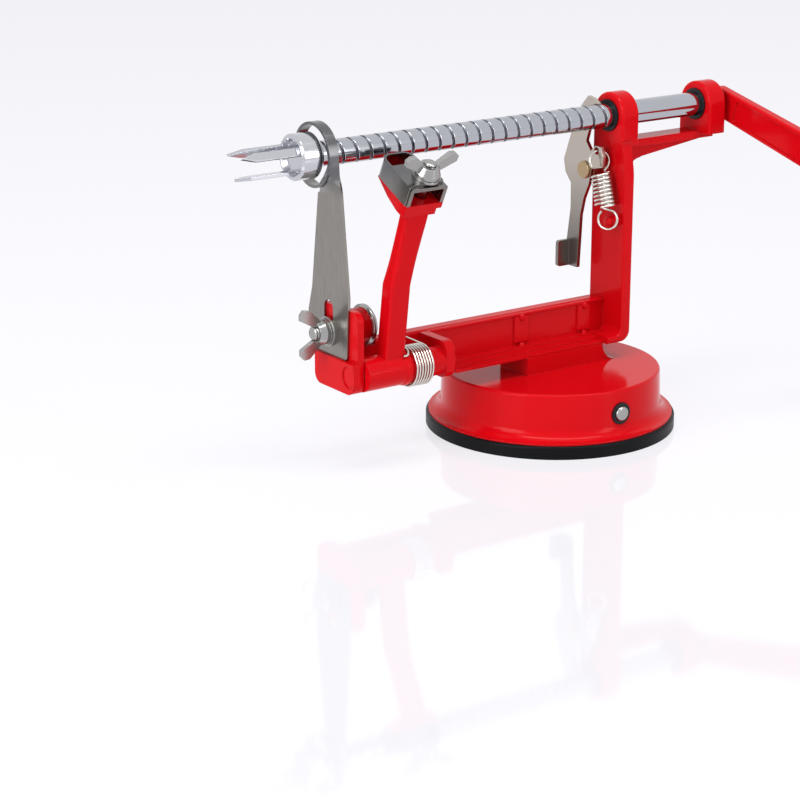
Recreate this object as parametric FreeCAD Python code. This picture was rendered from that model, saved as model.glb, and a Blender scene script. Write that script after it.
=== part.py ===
import FreeCAD, Part
import math
import os

# Hand-cranked apple peeler, slicer and corer on a suction base.
# Millimetres. Origin at the middle of the base on the table.
# +X runs along the feed screw to the crank, +Y away from the viewer, +Z up.

V = FreeCAD.Vector
os.makedirs("parts", exist_ok=True)

# Clearances: seats, running fits, and how far a cutter or a hidden lap runs past a face
seat_gap = 0.3
run_fit = 0.05
over = 1.0

# How near an edge has to lie to be picked for rounding
hair = 0.01
close_to = 0.1

# Small roundings of turned ends, sheet corners and rivets
turned_edge = 0.6
fine_edge = 0.5
rivet_edge = 0.8
tab_edge = 1.2

# Main sizes: base, height of the screw line, front and rear faces of the casting
base_radius = 51.0
axis_z = 124.0
frame_front = -107.5
frame_rear = 82.4

# Suction pad
pad_radius = base_radius
pad_height = 5.3
pad_edge = 1.0
pad_seal = 9.0
pad_dish_radius = base_radius - pad_seal
pad_dish_depth = 0.8
pad_dish_slope = 2.0
pad_boss_radius = 13.0
pad_boss_height = 7.1
pad_lip = 1.8

# Base cover
flare_inset = 1.0
flare_radius = base_radius - flare_inset
flare_height = 0.8
cover_inset = 6.0
cover_radius = base_radius - cover_inset
flare_flat = 0.2
flare_blend = flare_radius - cover_radius - flare_flat
cover_draft = 0.5
cover_top = 24.4
cover_wall = 2.6
cover_roof = 2.2
cover_edge = 1.0
pedestal_x = (-19.0, 20.0)
pedestal_half = 9.0
pedestal_top = 31.8
pedestal_sweep = 7.0
roof_pocket = 25.0

# Cam shaft, bushes, stud and lever
cam_height = 14.7
cam_throw = 1.2
cam_radius = 4.2
cam_half = 4.0
shaft_radius = 4.0
pin_radius = 3.0
pin_proud = 1.4
pin_dome = 0.9
shaft_proud = 1.0
near_bush_radius = 4.4
near_bush_depth = 8.0
near_bush_lip = 0.3
far_bush_radius = 5.6
bearing_wall = 2.4
bearing_depth = 8.0
bearing_proud = 5.2
far_bearing_y = cover_radius + bearing_proud
window_wall = 2.0
stud_half = 3.5
stud_web = 1.5
stud_roof = 3.0
stud_stem = 4.0
stud_flange = 9.0
stud_flange_thick = 1.6
lever_hub_radius = 8.0
lever_hub_thick = 6.0
lever_reach = 46.0
lever_tip_radius = 6.5
lever_tilt = 7.0
lever_edge = 0.8
lever_neck_in = 2.0

# Frame screws
screw_spots = (-13.0, 14.0)
screw_y = 3.0
screw_radius = 2.0
screw_head_radius = 4.0
screw_head_height = 2.6
screw_top = 43.0

# Feed screw line
rod_radius = 4.85
spigot_step = 1.0
spigot_radius = rod_radius - spigot_step
bush_radius = 6.4
bush_proud = 0.7

# Frame beam
web_thick = 6.0
beam_top = 48.8
beam_bottom = 35.0
foot_left = -55.0
foot_half = 9.0
foot_bottom = 31.8
ledge_depth = 3.0
ledge_rise = 1.0
beam_round = 1.0
pilaster_proud = 1.1
rim_height = 1.5
pilaster_spans = ((-19.6, -12.4), (13.0, 19.8))
pilaster_z = (36.2, 47.2)
bump_radius = 1.5
bump_proud = 0.9
bump_dome = 0.9

# Column, upper arm and lugs
column_x = (27.1, 31.9)
column_y = (-12.0, 9.3)
column_back = 38.0
column_toe = 7.0
toe_thick = 3.0
heel_radius = 6.0
web_heel = 3.0
lug_radius = 9.3
front_lug_thick = 8.5
front_lug_x = (column_x[0], column_x[0] + front_lug_thick)
rear_lug_thick = 8.9
rear_lug_x = (frame_rear - rear_lug_thick, frame_rear)
arm_drop = 10.8
arm_top = axis_z - arm_drop
lug_skirt = 0.8
lug_low = arm_top - lug_skirt
arm_flange = 3.2
arm_flange_near = 3.0
soffit_left_drop = 8.4
arm_soffit_left = arm_top - soffit_left_drop
soffit_right_drop = 3.7
arm_soffit_right = arm_top - soffit_right_drop
arm_corner = 7.0
web_lap = 0.5
soffit_lap = 0.3
corner_lap = 0.1
lug_lap = 0.6

# Front plate, ear and their bosses
plate_thick = 5.1
plate_x = (frame_front, frame_front + plate_thick)
recess_depth = 2.2
plate_recess_x = frame_front + recess_depth
plate_y = (-15.6, 11.0)
plate_z = (33.0, 65.0)
plate_step_z = 45.4
plate_corner = 4.0
plate_disc = 4.4
plate_disc_depth = 0.5
ear_run = (41.5, 45.5)
ear_x = (frame_front + ear_run[0], frame_front + ear_run[1])
ear_y = -18.2
ear_top = 48.3
ear_bottom = 33.6
ear_boss_radius = 5.7
ear_boss_run = (35.0, 46.6)
ear_boss_x = (frame_front + ear_boss_run[0], frame_front + ear_boss_run[1])
bolt_y = 2.6
bolt_z = 54.7
bolt_boss_radius = 7.0
bolt_boss_run = 16.5
bolt_boss_x = frame_front + bolt_boss_run

# Peeler arm
pivot_y = -12.5
pivot_z = 40.0
axle_radius = 2.8
axle_blind = 3.4
axle_short = 0.6
hub_radius = 6.6
collar_radius = 7.0
collar_run = (22.5, 25.3)
collar_x = (frame_front + collar_run[0], frame_front + collar_run[1])
sleeve_radius = 6.6
rest_swing = 8.0
limb_run = (14.2, 23.1)
limb_x = (frame_front + limb_run[0], frame_front + limb_run[1])
limb_thick = 6.8
head_drop = 57.0
head_z = axis_z - head_drop
limb_bend_drop = 32.0
limb_bend_z = head_z - limb_bend_drop
limb_top_run = (18.4, 29.0)
limb_top_x = (frame_front + limb_top_run[0], frame_front + limb_top_run[1])
limb_top_thick = 4.6
limb_top_drop = 7.0
limb_top_z = head_z - limb_top_drop
head_run = (17.4, 33.9)
head_x = (frame_front + head_run[0], frame_front + head_run[1])
head_near = -4.0
head_tilt = 18.0
head_thick = 5.2
head_step = 2.2
head_length = 20.5
head_taper = 0.6
head_flat = 0.25
head_knee = 0.6
head_knee_thick = 0.72

# Torsion spring
coil_wire = 0.8
coil_count = 7.0
coil_run = (25.6, 34.2)
coil_x = (frame_front + coil_run[0], frame_front + coil_run[1])
coil_turn_count = 4
coil_skip_count = 30
sample_count = 400
coil_hook = 0.1
tail_bend = 2.4
tail_past = 1.2
tail_count = 3

# Blade holder, blade and its fixing
holder_wall = 1.5
holder_bend = 1.0
holder_height = 7.7
holder_length = 13.5
blade_thick = 0.8
blade_run = 30.2
blade_far_x = frame_front + blade_run
blade_return = 17.0
blade_near = 0.6
blade_nose = 21.9
blade_corner = 4.2
foot_run = 33.0
foot_right = frame_front + foot_run
foot_near = 1.6
foot_far = 14.6
foot_corner = 1.5
stud_run = 27.1
stud_x = frame_front + stud_run
stud_v = 5.6
stud_radius = 2.4
stud_tail = 7.4
washer_radius = 5.4
washer_thick = 1.0
nut_radius = 5.0
nut_top_radius = 3.7
nut_height = 4.3
wing_reach = 11.3
wing_thick = 2.0
wing_width = 4.6
wing_rise = 4.6
wing_swell = 0.3
wing_root = 0.4
wing_side = 0.8
wing_chamfer = 0.3
nut_seat = 0.3
wing_seat = 0.5

# Corer blade
ring_run = (7.4, 3.3)
ring_x = (frame_front - ring_run[0], frame_front - ring_run[1])
ring_outer = 12.3
strip_thick = 1.1
foot_face = plate_recess_x - strip_thick
bend_z = 70.0
lean_ahead = 2.4
lean_top_x = frame_front - lean_ahead
lean_drop = 15.5
lean_top_z = axis_z - lean_drop
near_top_y = -12.75
far_top_y = 2.8
near_foot_y = -9.8
far_foot_y = 16.8
shoulder_z = 60.0
strip_sections = 13
slot_half = 3.0
slot_top = 67.0
toe_reach = 8.6
toe_corner = 2.0
top_trim = 0.02
blank_margin = 5.0

# Corer bolt
bolt_radius = 2.8
bolt_proud = 1.6
bolt_head_radius = 8.1
bolt_head_thick = 3.6
bolt_head_low = 2.2
bolt_head_high = 0.8
bolt_head_step = 0.8
bolt_head_flat = 0.45
plain_washer_radius = 5.8
plain_washer_thick = 1.1
plain_washer_step = 0.5
plain_washer_count = 2
bolt_nut_radius = 4.8
bolt_nut_top_radius = 3.8
bolt_nut_height = 3.8
bolt_wing_reach = 9.4
bolt_wing_rise = 6.8
bolt_front = foot_face - plain_washer_count * plain_washer_thick - bolt_nut_height - bolt_proud

# Fork
fork_radius = 8.75
fork_run = (16.5, 6.5)
fork_x = (frame_front - fork_run[0], frame_front - fork_run[1])
fork_dish = 1.6
fork_spigot = 5.0
fork_edge = 1.6
prong_count = 3
prong_circle = 4.9
prong_length = 24.0
prong_width = 3.2
prong_thick = 1.3
prong_point = 6.0
prong_root = 2.0
prong_turn = 60.0

# Crank
crank_run = (2.8, 7.6)
crank_x = (frame_rear + crank_run[0], frame_rear + crank_run[1])
crank_height = 11.8
crank_far_height = 14.0
crank_edge = 0.9
crank_rim = 1.6
crank_recess = 0.6
crank_radius = 72.0
crank_droop = 14.0
crank_end_radius = 2.8
thrust_radius = 5.9
nut_flat_radius = 4.5
nut_dome = 4.8
nut_roof = 2.0
nut_shoulder = 0.8
nut_tip = 0.35
grip_radius = 10.0
grip_waist = 7.6
grip_length = 46.0
grip_pin_radius = 2.6
grip_head_radius = 5.0
grip_head_thick = 1.6
grip_edge = 1.2
grip_sink = 1.0
upset_proud = 1.2
upset_step = 1.2
upset_root = 0.6

# Release lever
lever_run = (5.9, 4.3)
plate_lever_x = (column_x[0] - lever_run[0], column_x[0] - lever_run[1])
fulcrum_y = 6.8
fulcrum_drop = 22.7
fulcrum_z = axis_z - fulcrum_drop
fulcrum_radius = 2.2
fulcrum_head = 3.6
fulcrum_head_thick = 1.2
fulcrum_shoulder = 4.0
fulcrum_shank = 1.5
tab_reach = 5.8
tab_x = plate_lever_x[0] - tab_reach
tab_drop = (64.4, 53.5)
tab_z = (axis_z - tab_drop[0], axis_z - tab_drop[1])
ear_hole_radius = 1.5

# Release lever outline: Y and height over the screw line
lever_tip = (2.6, 7.0)
lever_crest = (5.9, 7.6)
lever_neck = (9.9, 3.3)
lever_shoulder = (13.6, -3.0)
lever_back = (16.2, -9.4)
lever_belly = (20.4, -20.4)
lever_hip = (19.2, -25.6)
lever_waist = (15.6, -29.6)
lever_small = (15.4, -40.0)
lever_heel_y = 17.4
handle_front_y = 10.6
handle_small = (9.2, -42.0)
handle_swell = (7.4, -35.0)
handle_root = (4.2, -28.2)
ear_low = (2.7, -21.8)
ear_near = (-4.0, -20.2)
ear_side = (-4.3, -15.6)
ear_crown = (-2.7, -12.0)
ear_far = (0.6, -12.0)
throat_low = (3.4, -14.6)
throat_back = (6.5, -10.8)
throat_top = (5.2, -6.8)
hook_angle = 97.0
jaw_angle = -44.0
jaw_count = 8

# Extension spring
pull_wire = 1.0
pull_outer = 9.0
loop_radius = 4.1
loop_yaw_low = 27.0
loop_yaw_top = 68.0
loop_inset = 1.1
link_pull = 5.0
link_count = 3
loop_count = 7
loop_start = math.pi / 3
loop_step = math.pi / 4
pull_skip_count = 25
spring_x = (plate_lever_x[0] + plate_lever_x[1]) / 2
loop_top_rise = 4.8
loop_top = (spring_x, -1.3, fulcrum_z + loop_top_rise)
loop_low_drop = 18.1
loop_low = (spring_x, -7.5, fulcrum_z - loop_low_drop)
pull_turns = 8.25 + (loop_yaw_top - loop_yaw_low) / 360.0
spring_post_y = -7.1
spring_post_drop = 19.1
spring_post_z = fulcrum_z - spring_post_drop
spring_post_radius = 2.3
spring_post_length = 5.6
spring_post_dome = 0.7

tangent = math.tan
root_half = math.sqrt(0.5)
cam_lift = 2.0 * cam_throw * root_half
pivot = V(0.0, pivot_y, pivot_z)


def face_of(points):
    """Flat face on a closed outline of points."""
    return Part.Face(Part.makePolygon(list(points) + [points[0]]))


def along_y(outline, y0, y1):
    """Solid from an outline of (X, Z) pairs, from Y y0 to y1."""
    return face_of([V(x, y0, z) for x, z in outline]).extrude(V(0, y1 - y0, 0))


def along_x(outline, x0, x1):
    """Solid from an outline of (Y, Z) pairs, from X x0 to x1."""
    return face_of([V(x0, y, z) for y, z in outline]).extrude(V(x1 - x0, 0, 0))


def block(x, y, z):
    """Box between pairs of coordinates."""
    return Part.makeBox(x[1] - x[0], y[1] - y[0], z[1] - z[0], V(x[0], y[0], z[0]))


def rod_x(radius, x0, x1, y=0.0, z=axis_z):
    """Cylinder along X."""
    return Part.makeCylinder(radius, x1 - x0, V(x0, y, z), V(1, 0, 0))


def rod_y(radius, y0, y1, x=0.0, z=cam_height):
    """Cylinder along Y."""
    return Part.makeCylinder(radius, y1 - y0, V(x, y0, z), V(0, 1, 0))


def rod_z(radius, z0, z1, x=0.0, y=0.0):
    """Cylinder along Z."""
    return Part.makeCylinder(radius, z1 - z0, V(x, y, z0), V(0, 0, 1))


def turned_z(profile):
    """Solid of revolution about Z from (radius, Z) pairs."""
    return face_of([V(r, 0, z) for r, z in profile]).revolve(V(0, 0, 0), V(0, 0, 1), 360)


def turned_x(profile, y=0.0, z=axis_z):
    """Solid of revolution about an axis along X from (X, radius) pairs."""
    face = face_of([V(x, y, z + r) for x, r in profile])
    return face.revolve(V(0, y, z), V(1, 0, 0), 360)


def rounded(shape, radius, wanted):
    """Shape with the wanted edges rounded."""
    edges = [e for e in shape.Edges if wanted(e)]
    return shape.makeFillet(radius, edges)


def is_line(edge):
    """True for a straight edge."""
    return edge.Curve.TypeId == "Part::GeomLine"


def runs_along(edge, axis):
    """True for a straight edge parallel to an axis."""
    if not is_line(edge):
        return False
    way = edge.Vertexes[-1].Point - edge.Vertexes[0].Point
    return abs(way.normalize() * axis) > 0.999


def save(name, shape):
    """One STEP file per node."""
    solid = shape.removeSplitter()
    if len(solid.Solids) == 1:
        solid = solid.Solids[0]
    solid.exportStep("parts/" + name + ".step")
    box = solid.BoundBox
    print(name, len(solid.Solids), round(solid.Volume, 1), solid.isValid(),
          [round(v, 1) for v in (box.XMin, box.XMax, box.YMin, box.YMax, box.ZMin, box.ZMax)])


# Suction pad
def suction_pad():
    """Rubber disc: sealing rim, shallow dish, boss with a pocket for the stud's flange."""
    pocket_top = pad_boss_height - pad_lip
    pocket_low = pocket_top - stud_flange_thick - cam_lift - seat_gap
    pocket_r = stud_flange + seat_gap
    neck_r = stud_stem + seat_gap
    slope_r = pad_dish_radius + pad_dish_slope
    profile = [(0, pad_dish_depth), (0, pocket_low), (pocket_r, pocket_low), (pocket_r, pocket_top),
               (neck_r, pocket_top), (neck_r, pad_boss_height), (pad_boss_radius, pad_boss_height),
               (pad_boss_radius, pad_height), (pad_radius, pad_height), (pad_radius, 0),
               (slope_r, 0), (pad_dish_radius, pad_dish_depth)]
    pad = turned_z(profile)
    return rounded(pad, pad_edge, lambda e: e.BoundBox.XMax > pad_radius - hair and e.BoundBox.ZMin > over
                   and not is_line(e))


# Pull stud
def pad_stud():
    """Flange in the rubber, stem, and a yoke with a window for the cam."""
    rise = cam_throw * root_half
    flange_top = pad_boss_height - pad_lip
    window_half = cam_throw + cam_radius + seat_gap
    window_low = cam_height + rise - cam_radius - seat_gap
    window_top = cam_height + rise + cam_radius + seat_gap
    yoke_half = window_half + window_wall
    flange = rod_z(stud_flange, flange_top - stud_flange_thick, flange_top)
    neck = rod_z(stud_stem, flange_top, window_low - stud_web)
    yoke = block((-yoke_half, yoke_half), (-stud_half, stud_half),
                 (window_low - stud_web, window_top + stud_roof))
    yoke = rounded(yoke, window_wall, lambda e: runs_along(e, V(0, 1, 0)) and e.BoundBox.ZMin > cam_height)
    window = block((-window_half, window_half), (-pad_radius, pad_radius), (window_low, window_top))
    return flange.fuse([neck, yoke]).cut(window)


# Base cover
def base_cover():
    """Die-cast cover: flared foot, drafted wall, flat roof, pedestal and two cam bearings."""
    foot_top = pad_height + flare_height
    arc_mid = flare_blend * (1 - root_half)
    wall_top = cover_radius - cover_draft
    outer = [V(0, 0, pad_height), V(flare_radius, 0, pad_height), V(flare_radius, 0, foot_top)]
    shelf = V(cover_radius + flare_blend, 0, foot_top)
    blend_end = V(cover_radius, 0, foot_top + flare_blend)
    blend_mid = V(cover_radius + arc_mid, 0, foot_top + arc_mid)
    crown = V(wall_top, 0, cover_top)
    edges = [Part.makeLine(outer[0], outer[1]), Part.makeLine(outer[1], outer[2]),
             Part.makeLine(outer[2], shelf), Part.Arc(shelf, blend_mid, blend_end).toShape(),
             Part.makeLine(blend_end, crown), Part.makeLine(crown, V(0, 0, cover_top)),
             Part.makeLine(V(0, 0, cover_top), outer[0])]
    shell = Part.Face(Part.Wire(edges)).revolve(V(0, 0, 0), V(0, 0, 1), 360)
    shell = rounded(shell, cover_edge, lambda e: not is_line(e) and (
        abs(e.BoundBox.ZMax - cover_top) < hair and e.BoundBox.ZLength < hair
        and e.BoundBox.XMax > pad_boss_radius))
    sweep = [V(pedestal_x[1], 0, pedestal_top),
             V(pedestal_x[1] + pedestal_sweep * (1 - root_half), 0,
               cover_top + pedestal_sweep * (1 - root_half)),
             V(pedestal_x[1] + pedestal_sweep, 0, cover_top)]
    low = cover_top - cover_edge
    pedestal_edges = [Part.makeLine(V(pedestal_x[0], 0, low), V(pedestal_x[0], 0, pedestal_top)),
                      Part.makeLine(V(pedestal_x[0], 0, pedestal_top), sweep[0]),
                      Part.Arc(sweep[0], sweep[1], sweep[2]).toShape(),
                      Part.makeLine(sweep[2], V(sweep[2].x, 0, low)),
                      Part.makeLine(V(sweep[2].x, 0, low), V(pedestal_x[0], 0, low))]
    pedestal = Part.Face(Part.Wire(pedestal_edges)).extrude(V(0, 2 * pedestal_half, 0))
    pedestal.translate(V(0, -pedestal_half, 0))
    bearing_r = far_bush_radius + bearing_wall
    cover_hollow_r = cover_radius - cover_wall
    ceiling = cover_top - cover_roof
    hollow = turned_z([(0, pad_height - over), (cover_hollow_r, pad_height - over),
                       (cover_hollow_r, foot_top + flare_blend), (wall_top - cover_wall, ceiling),
                       (0, ceiling)])
    far_bearing = rod_y(bearing_r, cover_radius - bearing_depth, far_bearing_y)
    near_bearing = rod_y(near_bush_radius + bearing_wall, -cover_radius, -cover_radius + bearing_depth)
    near_limit = rod_z(cover_radius - cover_draft, pad_height, cover_top)
    cover = shell.fuse(pedestal).cut(hollow)
    cover = cover.fuse([far_bearing, near_bearing.common(near_limit)])
    yoke_room = cam_throw + cam_radius + window_wall + 2 * seat_gap
    pocket = block((-yoke_room, yoke_room), (-stud_half - over, stud_half + over),
                   (ceiling - over, roof_pocket))
    near_hole = rod_y(near_bush_radius, -cover_radius - over, -cover_radius + bearing_depth + over)
    far_hole = rod_y(far_bush_radius, cover_radius - bearing_depth - over, far_bearing_y + over)
    cuts = [pocket, near_hole, far_hole]
    for x in screw_spots:
        cuts.append(rod_z(screw_radius, ceiling - over, pedestal_top + over, x, screw_y))
    return cover.cut(cuts)


# Cam bushes
def cam_bushes():
    """Two plain black bushes in the cover's bearings."""
    near = rod_y(near_bush_radius, -cover_radius - near_bush_lip, -cover_radius + near_bush_depth)
    near = near.cut(rod_y(pin_radius + run_fit, -cover_radius - over, cover_radius))
    far = rod_y(far_bush_radius, cover_radius - bearing_depth, far_bearing_y)
    far = far.cut(rod_y(shaft_radius + run_fit, 0, far_bearing_y + over))
    return Part.makeCompound([near, far])


# Cam shaft
def cam_shaft():
    """Cross shaft with a stepped domed end and an eccentric under the roof."""
    pin_end = -cover_radius - pin_proud
    step_y = -cover_radius + near_bush_depth + over
    tail = far_bearing_y + lever_hub_thick + shaft_proud
    near_shaft = rod_y(shaft_radius, step_y, -cam_half)
    far_shaft = rod_y(shaft_radius, cam_half, tail)
    pin = rod_y(pin_radius, pin_end, step_y)
    pin = rounded(pin, pin_dome, lambda e: not is_line(e) and e.BoundBox.YMax < pin_end + hair)
    offset = cam_throw * root_half
    cam = rod_y(cam_radius, -cam_half, cam_half, -offset, cam_height + offset)
    far_shaft = rounded(far_shaft, turned_edge, lambda e: not is_line(e) and e.BoundBox.YMin > tail - hair)
    return cam.fuse([near_shaft, far_shaft, pin])


# Suction lever
def suction_lever():
    """Flat lever with a round hub and a wider thumb end, pointing to the crank side."""
    y0 = far_bearing_y + seat_gap
    y1 = y0 + lever_hub_thick
    hub = rod_y(lever_hub_radius, y0, y1)
    tip = rod_y(lever_tip_radius, y0, y1, lever_reach, cam_height)
    waist = lever_tip_radius - lever_neck_in
    bar = along_y([(0, cam_height - lever_tip_radius), (lever_reach / 2, cam_height - waist),
                   (lever_reach, cam_height - lever_tip_radius), (lever_reach, cam_height + lever_tip_radius),
                   (lever_reach / 2, cam_height + waist), (0, cam_height + lever_tip_radius)], y0, y1)
    lever = hub.fuse([tip, bar]).removeSplitter()
    lever = rounded(lever, lever_edge, lambda e: e.BoundBox.YLength < hair)
    lever = lever.cut(rod_y(shaft_radius, y0 - over, y1 + over))
    lever.rotate(V(0, 0, cam_height), V(0, 1, 0), lever_tilt)
    return lever


# Frame screws
def frame_screws():
    """Two screws from under the roof up into the frame."""
    ceiling = cover_top - cover_roof
    screws = []
    for x in screw_spots:
        head = rod_z(screw_head_radius, ceiling - screw_head_height, ceiling, x, screw_y)
        screws.append(head.fuse(rod_z(screw_radius, ceiling - over, screw_top, x, screw_y)).removeSplitter())
    return Part.makeCompound(screws)


# Frame casting
def lug(x0, x1, low):
    """Tombstone lug round the screw."""
    crown = rod_x(lug_radius, x0, x1)
    foot = block((x0, x1), (-lug_radius, lug_radius), (low, axis_z))
    both = crown.fuse(foot).removeSplitter()
    return rounded(both, beam_round, lambda e: e.BoundBox.XLength < hair and e.BoundBox.ZMax > low + close_to)


def column():
    """T-shaped column: wide front flange with a toe and a rounded heel, and a web behind it."""
    outline = [(column_x[0], axis_z - lug_radius), (column_x[0], foot_bottom + toe_thick),
               (column_x[0] - column_toe, foot_bottom + toe_thick), (column_x[0] - column_toe, foot_bottom),
               (column_x[1], foot_bottom), (column_x[1], axis_z - lug_radius)]
    flange = along_y(outline, column_y[0], column_y[1])
    flange = rounded(flange, column_x[1] - column_x[0] - seat_gap, lambda e: runs_along(e, V(0, 1, 0))
                     and e.BoundBox.XMin > column_x[1] - hair and e.BoundBox.ZMax < foot_bottom + hair)
    flange = rounded(flange, toe_thick - seat_gap, lambda e: runs_along(e, V(0, 1, 0))
                     and abs(e.BoundBox.XMin - column_x[0]) < hair
                     and e.BoundBox.ZMax < foot_bottom + toe_thick + hair)
    flange = rounded(flange, beam_round, lambda e: runs_along(e, V(0, 0, 1))
                     and e.BoundBox.ZLength > arm_corner)
    web = along_y([(column_x[1] - over, foot_bottom + heel_radius),
                   (column_back - web_heel, foot_bottom + heel_radius),
                   (column_back, foot_bottom + heel_radius + web_heel), (column_back, arm_top),
                   (column_x[1] - over, arm_top)], 0, web_thick)
    web = rounded(web, beam_round, lambda e: e.BoundBox.YLength < hair
                  and e.BoundBox.XMin > column_back - hair)
    taper = face_of([V(column_x[0], column_y[0], arm_soffit_left - arm_corner),
                     V(column_x[0], column_y[0] - over, arm_top + lug_radius),
                     V(column_x[0], -lug_radius, arm_top)]).extrude(V(column_x[1] - column_x[0] + over, 0, 0))
    return flange.cut(taper).fuse(web)


def upper_arm():
    """Arm from the column to the rear lug: thin top flange over a web with a rising soffit."""
    top_z = arm_top - arm_flange
    flange = block((column_x[0] + over, rear_lug_x[1] - over), (-arm_flange_near, web_thick),
                   (top_z, arm_top))
    inner = column_back + arm_corner
    lug_side = rear_lug_x[1] - lug_lap
    corner_z = arm_soffit_left - arm_corner
    web = along_y([(column_x[1], top_z + web_lap), (column_x[1], corner_z),
                   (column_back, corner_z), (column_back, arm_soffit_left),
                   (inner, arm_soffit_left + soffit_lap), (rear_lug_x[1] - arm_corner / 2, arm_soffit_right),
                   (lug_side, arm_top - over), (lug_side, arm_top)], 0, web_thick)
    corner = along_y([(column_back - over, arm_soffit_left + corner_lap), (column_back - over, corner_z),
                      (column_back, corner_z), (inner, arm_soffit_left + soffit_lap)],
                     0, web_thick)
    scoop = rod_y(arm_corner, -over, web_thick + over, inner, corner_z)
    return flange.fuse([web, corner.cut(scoop)])


def beam():
    """Web of the beam, its stepped foot, the two ribs and the cast bumps."""
    web = block((plate_x[1] - over, column_back - over), (0, web_thick), (beam_bottom, beam_top))
    web = rounded(web, beam_round, lambda e: runs_along(e, V(1, 0, 0)) and e.BoundBox.ZMin > beam_top - hair)
    rim = block((ear_x[1] - over, column_x[0] + over), (-pilaster_proud, over + beam_round),
                (beam_top - rim_height, beam_top - beam_round / 3))
    rim = rounded(rim, pilaster_proud / 3, lambda e: runs_along(e, V(1, 0, 0)) and e.BoundBox.YMax < 0)
    far = web_thick + ledge_depth
    steps = [(-foot_half, foot_bottom), (-foot_half, beam_bottom - 2 * ledge_rise),
             (-2 * ledge_depth, beam_bottom - 2 * ledge_rise), (-2 * ledge_depth, beam_bottom - ledge_rise),
             (-ledge_depth, beam_bottom - ledge_rise), (-ledge_depth, beam_bottom),
             (0, beam_bottom), (0, beam_bottom + over), (web_thick, beam_bottom + over),
             (web_thick, beam_bottom), (far, beam_bottom - ledge_rise), (far, foot_bottom)]
    foot = along_x(steps, foot_left, column_x[0] + over)
    pieces = [foot, rim]
    for x0, x1 in pilaster_spans:
        rib = block((x0, x1), (-pilaster_proud, over), pilaster_z)
        pieces.append(rounded(rib, pilaster_proud / 2, lambda e: e.BoundBox.YMax < -pilaster_proud + hair))
        middle = (x0 + x1) / 2
        for z in (pilaster_z[0] - bump_radius, pilaster_z[1] - bump_radius / 3):
            bump = rod_y(bump_radius, -pilaster_proud - bump_proud, over, middle, z)
            pieces.append(rounded(bump, bump_proud * bump_dome,
                                  lambda e: not is_line(e) and e.BoundBox.YMax < -pilaster_proud))
    return web.fuse(pieces)


def front_plate():
    """End plate with a step that the slicing blade stands on."""
    outline = [(plate_y[0], plate_z[0]), (plate_y[1], plate_z[0]),
               (plate_y[1], plate_z[1]), (plate_y[0], plate_z[1])]
    plate = along_x(outline, plate_x[0], plate_x[1])
    plate = rounded(plate, plate_corner, lambda e: runs_along(e, V(1, 0, 0)))
    step = block((plate_x[0] - over, plate_recess_x), (plate_y[0] - over, plate_y[1] + over),
                 (plate_step_z, plate_z[1] + over))
    disc = rod_x(plate_disc, plate_x[0] - over, plate_x[0] + plate_disc_depth, pivot_y, pivot_z)
    return plate.cut([step, disc])


def axle_ear():
    """Cross wall with a boss for the peeler axle."""
    wall = block(ear_x, (ear_y, web_thick - over), (ear_bottom, ear_top))
    wall = rounded(wall, plate_corner, lambda e: runs_along(e, V(1, 0, 0)) and e.BoundBox.YMax < pivot_y)
    boss = rod_x(ear_boss_radius, ear_boss_x[0], ear_boss_x[1], pivot_y, pivot_z)
    boss = rounded(boss, beam_round, lambda e: not is_line(e) and e.BoundBox.XMin > ear_boss_x[1] - close_to)
    return wall.fuse(boss)


def spring_post():
    """Cast post for the low loop of the release spring."""
    tip = column_x[0] - spring_post_length
    post = rod_x(spring_post_radius, tip, column_x[0] + over, spring_post_y, spring_post_z)
    return rounded(post, spring_post_radius * spring_post_dome,
                   lambda e: not is_line(e) and e.BoundBox.XMax < tip + close_to)


def body_frame():
    """The whole red casting with its bores."""
    bolt_boss = rod_x(bolt_boss_radius, plate_x[1] - over, bolt_boss_x, bolt_y, bolt_z)
    body = beam().fuse([column(), upper_arm(), lug(front_lug_x[0], front_lug_x[1], lug_low),
                        lug(rear_lug_x[0], rear_lug_x[1], lug_low), front_plate(), axle_ear(),
                        bolt_boss, spring_post()])
    head_room = bolt_head_radius + seat_gap
    relief = rod_x(head_room, bolt_boss_x, bolt_boss_x + bolt_head_thick + 2 * seat_gap, bolt_y, bolt_z)
    bores = [rod_x(bush_radius, front_lug_x[0] - over, rear_lug_x[1] + over), relief,
             rod_x(bolt_radius, plate_x[0] - over, bolt_boss_x + over, bolt_y, bolt_z),
             rod_x(axle_radius, plate_x[1] - axle_blind, ear_boss_x[1] + over, pivot_y, pivot_z),
             rod_x(fulcrum_shank, column_x[0] - over, column_x[1] + over, fulcrum_y, fulcrum_z)]
    for x in screw_spots:
        bores.append(rod_z(screw_radius, foot_bottom - over, screw_top, x, screw_y))
    return body.cut(bores)


# Screw bushes
def screw_bush(x0, x1):
    """Black bush with a small flange of its own length beyond the lug."""
    bush = rod_x(bush_radius, x0 - bush_proud, x1 + bush_proud)
    return bush.cut(rod_x(rod_radius + run_fit, x0 - 2 * over, x1 + 2 * over))


# Feed screw, fork and crank
def feed_screw():
    """Chrome rod at crest size, with a spigot in the fork and a stepped end for the crank."""
    front = rod_x(spigot_radius, fork_x[1] - fork_spigot, fork_x[1] + over)
    rod = rod_x(rod_radius, fork_x[1], crank_x[0])
    tail = rod_x(crank_end_radius, crank_x[0] - over, crank_x[1] + nut_dome - nut_roof)
    return rod.fuse([front, tail])


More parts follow.
